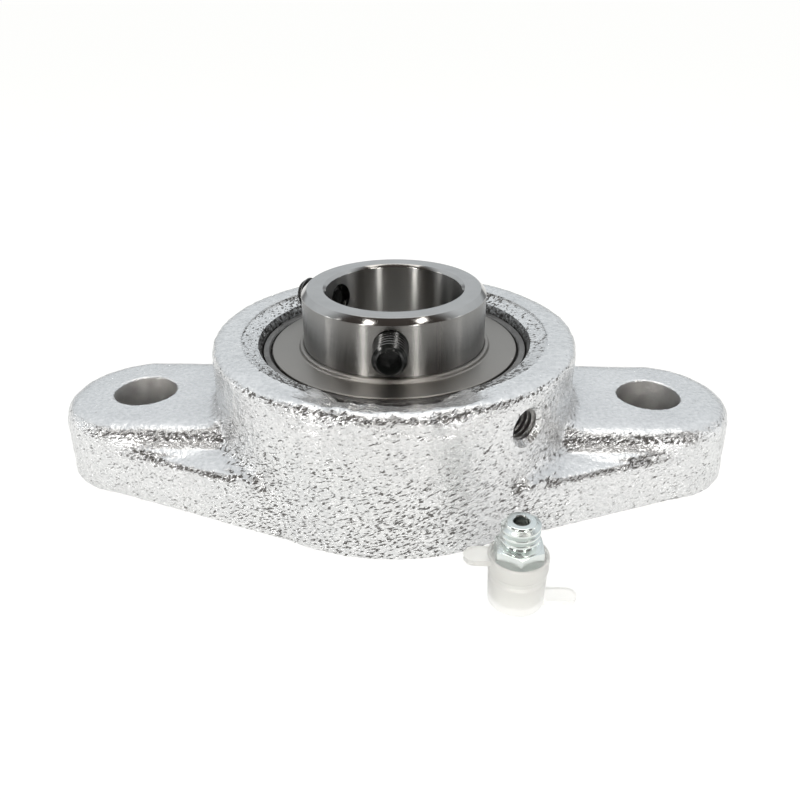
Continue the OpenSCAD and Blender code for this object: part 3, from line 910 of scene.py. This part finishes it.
def finish(name, fixed, paint):
    """A material with fixed shader values and wires worked out from the position on the piece."""
    made = bpy.data.materials.new(name)
    made.use_nodes = True
    tree = made.node_tree
    shader = tree.nodes["Principled BSDF"]
    for key, value in fixed.items():
        shader.inputs[key].default_value = value
    position = Wire(tree).node("ShaderNodeTexCoord", out="Object")
    for key, wire in paint(position).items():
        tree.links.new(wire.socket, shader.inputs[key])
    return made


print("shader helpers ready")

# %% [markdown]
# ## Zinc on a casting
# The casting is dipped in bright zinc, which mirrors the room in broken glints but is partly matte,
# so its metal share is below one. The grain of the sand still shows through as fine bumps, and
# small pits stay dark where the zinc did not reach. Two attributes on the mesh steer this: the flat
# tops are smoother than the walls, and along some crests extra dark pits are painted shade, which
# stands in for the dark room that these tilted faces mirror.

# %% Casting finishes
FLAT_NAME = "flatness"
CREST_SHADE_NAME = "rough_line"
LINE_Z = 12.2


def rough_line(point, normal):
    """1 along the bars' sides, the skirt's rim and the hub's front edge, where extra dark pits are painted shade.
    """
    tilt = smooth_step(0.2, 0.4, normal.z) * (1 - smooth_step(0.7, 0.85, normal.z))
    if point.xy.length < hub_r + 0.4:
        below_edge = smooth_step(hub_top - RAMP_DEPTH, hub_top - 3, point.z)
        from_middle = abs(math.atan2(point.x, abs(point.y)))
        return tilt * below_edge * (1 - smooth_step(SLOT_SPREAD, 2 * SLOT_SPREAD, from_middle))
    if normal.z > 0.9:
        return 0.0
    along_bar = 1 - smooth_step(0.3, 0.9, abs(point.z - LINE_Z))
    reach = 1 - smooth_step(bolt_x + 2, bolt_x + 8, abs(point.x))
    along_rim = tilt if on_skirt_rim(point) else 0.0
    return max(along_bar * reach, along_rim)


def zinc_coat(position):
    flat = position.node("ShaderNodeAttribute", {"attribute_name": FLAT_NAME}, out="Fac")
    walls = 1 - 0.45 * flat
    patches = position.cloud(110, 2)
    grain = position.stretch(1, 1, 1.6).cloud(1450, 2, 0.6)
    slanted = position.node("ShaderNodeMapping", {"vector_type": "TEXTURE"}, {
        "Vector": position, "Rotation": (0, math.radians(-22), 0), "Scale": (1, 1, 0.34)})
    specks = slanted.cloud(1250, 1.5)
    line = position.node("ShaderNodeAttribute", {"attribute_name": CREST_SHADE_NAME}, out="Fac")
    distance = position.node("ShaderNodeVectorMath", {"operation": "LENGTH"}, {0: position}, "Value")
    lugs = distance.rise(0.034, 0.042)
    # Extra dark pits along the crest line are painted shade of the dark room that those faces mirror; the other
    # pits are the coat's own.
    pits = (specks + 0.15 * patches - 0.12 * flat - 0.08 * lugs + 0.17 * line).rise(0.63, 0.70)
    blotches = 0.5 * patches + 0.5 * grain.rise(0.28, 0.72)
    tone = blotches.tint((0.605, 0.62, 0.634), (0.95, 0.956, 0.962))
    height = grain * walls - 0.35 * pits
    return {
        "Base Color": (0.9 * pits).tint(tone, (0.06, 0.053, 0.048)),
        "Roughness": 0.15 + 0.1 * grain + 0.2 * pits,
        "Normal": height.bump(0.0002),
    }


# The seat's mouth is painted dark as shade in the recess round the insert; the grain on it is the bored iron's
# own.
def rough_mouth(position):
    grain = position.cloud(1300, 3, 0.7)
    return {
        "Base Color": grain.rise(0.38, 0.64).tint((0.07, 0.066, 0.062), (0.58, 0.585, 0.59)),
        "Roughness": 0.25 + 0.2 * grain,
        "Normal": grain.bump(0.0004),
    }


def drilled_wall(position):
    rings = position.stretch(1, 1, 12).cloud(500, 2)
    stain = position.cloud(330, 3)
    return {
        "Base Color": stain.tint((0.22, 0.215, 0.21), (0.52, 0.51, 0.50)),
        "Roughness": 0.46 + 0.2 * stain,
        "Normal": rings.bump(0.00005),
    }


metal = {"Metallic": 1.0}
casting_finishes = [finish("zinc_casting", {"Metallic": 0.7}, zinc_coat),
                    finish("drilled_wall", metal, drilled_wall),
                    finish("rough_mouth", metal, rough_mouth)]
print("casting finishes:", [m.name for m in casting_finishes])

# %% [markdown]
# ## Steel, rubber and plastic
# Ground steel has fine lines round the ring and faint bands along it. The slinger is satin, the
# screws are black and slightly oily, the nipple is bright zinc, and the cap lets light through.
# Inner pieces get their own finishes too, because the joints can bring them into view.


# %% Other finishes
def ground_steel(position):
    bands = position.stretch(1, 1, 0.03).cloud(420, 2)
    return {
        "Base Color": bands.tint((0.25, 0.246, 0.238), (0.345, 0.34, 0.331)),
        "Roughness": 0.23 + 0.06 * bands,
    }


def honed_steel(position):
    bands = position.stretch(1, 1, 0.03).cloud(420, 2)
    return {
        "Base Color": bands.tint((0.27, 0.265, 0.255), (0.38, 0.375, 0.365)),
        "Roughness": 0.29 + 0.06 * bands,
    }


def turned_edge(position):
    bands = position.cloud(300, 2)
    return {
        "Base Color": bands.tint((0.46, 0.455, 0.445), (0.56, 0.555, 0.545)),
        "Roughness": 0.08 + 0.06 * bands,
    }


# Darker than the ground steel of the inner ring, and rougher.
def dull_turned(position):
    rings = position.stretch(1, 1, 30).cloud(300, 2)
    return {
        "Base Color": rings.tint((0.12, 0.115, 0.11), (0.34, 0.33, 0.32)),
        "Roughness": 0.32 + 0.15 * rings,
        "Normal": position.cloud(1300, 3).bump(0.0002),
    }


def satin_sheet(position):
    cloud = position.cloud(160, 3)
    grain = position.cloud(5200, 2)
    return {
        "Base Color": cloud.tint((0.315, 0.30, 0.282), (0.37, 0.353, 0.332)),
        "Roughness": 0.36 + 0.1 * cloud,
        "Normal": grain.bump(0.0000022),
    }


def oiled_black(position):
    cloud = position.cloud(700, 3)
    return {
        "Base Color": cloud.tint((0.004, 0.0045, 0.0045), (0.012, 0.013, 0.0125)),
        "Roughness": 0.12 + 0.12 * cloud,
        "Normal": position.cloud(3500, 2).bump(0.000008),
    }


# Lighter metal for the thread crests, a painted highlight of the light they catch.
def crest_highlight_paint(position):
    cloud = position.cloud(900, 3)
    return {
        "Base Color": cloud.tint((0.10, 0.10, 0.098), (0.30, 0.295, 0.29)),
        "Roughness": 0.3 + 0.2 * cloud,
    }


def bright_plate(position):
    cloud = position.cloud(600, 2)
    return {
        "Base Color": cloud.tint((0.73, 0.78, 0.765), (0.83, 0.868, 0.855)),
        "Roughness": 0.16 + 0.14 * cloud,
        "Normal": position.cloud(2600, 2).bump(0.00001),
    }


def polished_ball(position):
    cloud = position.cloud(800, 2)
    return {
        "Base Color": cloud.tint((0.70, 0.70, 0.71), (0.78, 0.78, 0.79)),
        "Roughness": 0.05 + 0.06 * cloud,
    }


def pressed_steel(position):
    cloud = position.cloud(500, 3)
    return {
        "Base Color": cloud.tint((0.40, 0.385, 0.36), (0.56, 0.54, 0.51)),
        "Roughness": 0.3 + 0.2 * cloud,
        "Normal": position.cloud(4000, 2).bump(0.00001),
    }


def moulded_rubber(position):
    cloud = position.cloud(900, 3)
    return {
        "Base Color": cloud.tint((0.022, 0.022, 0.024), (0.05, 0.05, 0.054)),
        "Roughness": 0.5 + 0.2 * cloud,
        "Normal": cloud.bump(0.00003),
    }


def milky_plastic(position):
    cloud = position.cloud(260, 2)
    return {
        "Base Color": cloud.tint((0.955, 0.96, 0.945), (0.985, 0.987, 0.975)),
        "Roughness": 0.26 + 0.12 * cloud,
        "Normal": position.cloud(900, 2).bump(0.00002),
    }


lined_metal = {"Metallic": 1.0, "Anisotropic": 1.0, "Anisotropic Rotation": 0.25}
ring_steel = finish("ring_steel", lined_metal, ground_steel)
bore_steel = finish("bore_steel", lined_metal, honed_steel)
edge_steel = finish("edge_steel", metal, turned_edge)
dull_steel = finish("dull_steel", metal, dull_turned)
slinger_steel = finish("slinger_steel", metal, satin_sheet)
black_oxide = finish("black_oxide", {"Specular IOR Level": 0.35}, oiled_black)
worn_black = finish("worn_black", metal, crest_highlight_paint)
nipple_zinc = finish("nipple_zinc", metal, bright_plate)
ball_steel = finish("ball_steel", metal, polished_ball)
cage_steel = finish("cage_steel", metal, pressed_steel)
spring_steel = finish("spring_steel", metal, pressed_steel)
seal_rubber = finish("seal_rubber", {}, moulded_rubber)
cap_plastic = finish("cap_plastic", {"Transmission Weight": 0.55, "IOR": 1.4}, milky_plastic)
print("finishes made:", len(bpy.data.materials))

# %% [markdown]
# ## Putting the pieces in the frame
# Each new mesh is scaled to metres, shaded smooth with sharp machined edges, given its finishes
# and tied to the body that carries it. The nodes that stay as packed only get a finish.

# %% Dress the frame
def dress(made, body, nodes, finishes, crease=35):
    mesh = made.data
    mesh.transform(Matrix.Scale(MM, 4))
    sorted_faces = [face.material_index for face in mesh.polygons]
    mesh.materials.clear()
    for material in finishes:
        mesh.materials.append(material)
    mesh.polygons.foreach_set("material_index", sorted_faces)
    mesh.polygons.foreach_set("use_smooth", [True] * len(mesh.polygons))
    mesh.set_sharp_from_angle(angle=math.radians(crease))
    mesh.update()
    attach(made, body)
    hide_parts(*nodes)


flat_share = casting.data.attributes.new(FLAT_NAME, "FLOAT", "POINT")
flat_share.data.foreach_set("value", [
    smooth_step(0.8, 0.97, v.normal.z) * (1 - 0.6 * ramp_share(v.co))
    for v in casting.data.vertices])
# Share of painted shade along the crests.
crest_shade_share = casting.data.attributes.new(CREST_SHADE_NAME, "FLOAT", "POINT")
crest_shade_share.data.foreach_set("value", [rough_line(v.co, v.normal) for v in casting.data.vertices])
dress(casting, "housing", ["housing"], casting_finishes, 50)
dress(outer_ring, "outer_ring", ["outer_ring"], [dull_steel])
for face in inner_ring.data.polygons:
    in_bore = 2 * int(face.center.xy.length < bore_r + 0.05)
    face.material_index = 1 if abs(face.normal.z) > 0.2 else in_bore
dress(inner_ring, "inner_ring", ["inner_ring"],
      [ring_steel, edge_steel, bore_steel], 8)
dress(front_slinger, "inner_ring", ["front_slinger"], [slinger_steel])
dress(rear_slinger, "inner_ring", ["rear_slinger"], [slinger_steel])
for name, screw in set_screws.items():
    dress(screw, name, [name], [black_oxide, worn_black])
dress(nipple, "nipple", ["nipple_body"], [nipple_zinc], 30)
dress(cap, "dust_cap", ["dust_cap"], [cap_plastic], 40)
dress(spring, "nipple", ["check_spring"], [spring_steel], 60)
lift = joints["check_ball_lift"]
spring_end = lift["deforming_nodes"][0]["fixed_end_z_m"]
shorter = lift["range_m"][1] / (spring_end - spring_low.z * MM)
1 - shorter
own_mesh(spring)

kept_finishes = {"ball_": ball_steel, "cage_": cage_steel, "check_ball": ball_steel,
                 "front_seal": seal_rubber, "rear_seal": seal_rubber}
for name, node in frame["nodes"].items():
    for start, material in kept_finishes.items():
        if name.startswith(start):
            node.data.materials.clear()
            node.data.materials.append(material)
triangles = {o.name: sum(len(p.vertices) - 2 for p in o.data.polygons)
             for o in (casting, outer_ring, inner_ring, nipple, cap)}
print("triangles:", triangles)

# %% [markdown]
# ## Floor and light
# The object stands on a white table in a light tent. Bright metal is all reflection, so the room
# matters as much as the finish: a pale blue back wall for the tops, a soft box above for the
# glints on rounded edges, a dark front where the photographer stands, and the white table itself,
# which the upright walls mirror. Upright strip lamps draw bright lines on the rings. They count
# only for glossy rays, so they are seen in metal and light nothing else.

# %% Set the stage
FLOOR_HALF = 12.0
WHITE = (1.0, 1.0, 0.985)
# Painted shadow: in front of the object the table's glow is darker, standing in for the photographer's shadow, and
# only mirrors see it.
PAINTED_TABLE_SHADOW = (0.80, 0.79, 0.765)
TABLE_GLOW = 1.15


def white_table():
    made = bpy.data.materials.new("white_table")
    made.use_nodes = True
    tree = made.node_tree
    tree.nodes.clear()
    camera_ray = Wire(tree).node("ShaderNodeLightPath", out="Is Camera Ray")
    mirror_ray = camera_ray.twin("Is Glossy Ray") + camera_ray.twin("Is Transmission Ray")
    lit = camera_ray.node("ShaderNodeBsdfDiffuse", {}, {"Color": (0.85, 0.85, 0.84, 1)})
    y = camera_ray.node("ShaderNodeTexCoord", out="Object").axes()[1]
    # Painted shadow of the photographer: rays other than the camera's see the table darker in front of the object.
    seen = camera_ray.tint((0.0 - y).rise(0.035, 0.09).tint(WHITE, PAINTED_TABLE_SHADOW), WHITE)
    glow = camera_ray.node("ShaderNodeEmission", {}, {"Color": seen, "Strength": TABLE_GLOW})
    share = 0.8 * camera_ray + 0.72 * mirror_ray
    mixed = camera_ray.node("ShaderNodeMixShader", {}, {0: share, 1: lit, 2: glow})
    output = tree.nodes.new("ShaderNodeOutputMaterial")
    tree.links.new(mixed.socket, output.inputs["Surface"])
    return made


bm = bmesh.new()
bmesh.ops.create_grid(bm, x_segments=1, y_segments=1, size=FLOOR_HALF)
floor = blank(bm, "table_top")
floor.data.materials.append(white_table())
floor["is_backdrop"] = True

BACK_WALL = (0.69, 0.725, 0.75)
BACK_TOP = (0.84, 0.875, 0.90)
SIDE_WALL = (0.80, 0.82, 0.84)
BACK_FOOT = (0.26, 0.265, 0.27)
DARK_FRONT = (0.07, 0.06, 0.054)
STRIP_LIGHT = (30.0, 29.6, 28.8)
world = bpy.data.worlds.new("light_tent")
scene.world = world
world.use_nodes = True
tent = world.node_tree
tent.nodes.clear()
way = Wire(tent).node("ShaderNodeTexCoord", out="Generated")
x, y, z = way.axes()
sideways = x.math("ABSOLUTE", x, 0.0).rise(0.88, 0.97)
behind = y.rise(-0.15, 0.25)
back = z.rise(0.08, 0.24).tint(BACK_FOOT, z.rise(0.25, 0.95).tint(BACK_WALL, BACK_TOP))
room = behind.tint(DARK_FRONT, back)
room = sideways.tint(room, SIDE_WALL)
azimuth = x.math("ARCTAN2", x, 0.0 - y)


def upright_strip(bearing, half, strength):
    """Share of a tall strip lamp at a bearing in degrees from the front, to the right."""
    away = azimuth - math.radians(bearing)
    off = away.math("ABSOLUTE", away, 0.0)
    return strength * off.rise(math.radians(half), math.radians(half / 2)) * z.rise(0.75, 0.55)


strips = upright_strip(-84, 3, 0.20) + upright_strip(86, 3, 0.10)
low_strips = upright_strip(-35, 3, 1.0) + upright_strip(28, 3, 0.8)
strips = strips + low_strips * z.rise(0.1, 0.2) * z.rise(0.6, 0.45)
camera_ray = way.node("ShaderNodeLightPath", out="Is Camera Ray")
room = (strips * camera_ray.twin("Is Glossy Ray")).tint(room, STRIP_LIGHT)
below = (0.0 - z).rise(-0.04, 0.02)
room = below.tint(room, WHITE)
room = camera_ray.tint(room, WHITE)
sky = way.node("ShaderNodeBackground", {}, {"Color": room, "Strength": 1.0})
tent_output = tent.nodes.new("ShaderNodeOutputWorld")
tent.links.new(sky.socket, tent_output.inputs["Surface"])


def soft_box(name, place, size, watts, mirrored=True):
    """A rectangular lamp at a place in metres, facing the object."""
    lamp = bpy.data.lights.new(name, "AREA")
    lamp.shape = "RECTANGLE"
    lamp.size, lamp.size_y = size
    lamp.energy = watts
    lamp.color = (1.0, 0.97, 0.92)
    made = bpy.data.objects.new(name, lamp)
    made.matrix_world = pointing(place, place)
    made.visible_glossy = mirrored
    scene.collection.objects.link(made)


soft_box("top_box", (0.0, 0.025, 0.42), (0.36, 0.20), 0.42)
soft_box("left_lamp", (-0.170, -0.180, 0.450), (0.07, 0.05), 0.06)
soft_box("right_lamp", (0.192, -0.141, 0.453), (0.07, 0.05), 0.06)
soft_box("front_fill", (0.0, -0.6, 0.3), (0.6, 0.3), 3.6, mirrored=False)
print("stage set")

# %% [markdown]
# ## Camera
# The camera stands where the picture was taken from: a little right of the middle, looking down by
# about 28 degrees. The focal length is given in pixels of the square picture, and a very small
# roll levels the bolt line.

# %% Place the camera
PICTURE_PX = 800
FOCAL_PX = 767
SENSOR_MM = 36.0
CAMERA_AT = Vector((0.00501, -0.13431, 0.08298))
LOOK_AT = Vector((0.00101, 0.0, 0.01208))
ROLL = math.radians(-0.32)
lens = bpy.data.cameras.new("camera")
lens.sensor_width = SENSOR_MM
lens.lens = SENSOR_MM * FOCAL_PX / PICTURE_PX
lens.clip_start = 0.005
camera = bpy.data.objects.new("camera", lens)
aim = (LOOK_AT - CAMERA_AT).to_track_quat("-Z", "Y").to_matrix().to_4x4()
camera.matrix_world = Matrix.Translation(CAMERA_AT) @ aim @ Matrix.Rotation(ROLL, 4, "Z")
scene.collection.objects.link(camera)
scene.camera = camera
scene.view_settings.view_transform = "Standard"
print("lens:", round(lens.lens, 2), "mm")

# %% [markdown]
# ## Compare the size
# The growth of the visual model over the imported frame's box is printed.

# %% Compare the boxes
low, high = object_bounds()
growth = [round((a - b) / MM, 2) for a, b in zip(high - low, cad_high - cad_low)]
print("visual model grows by", growth, "mm")
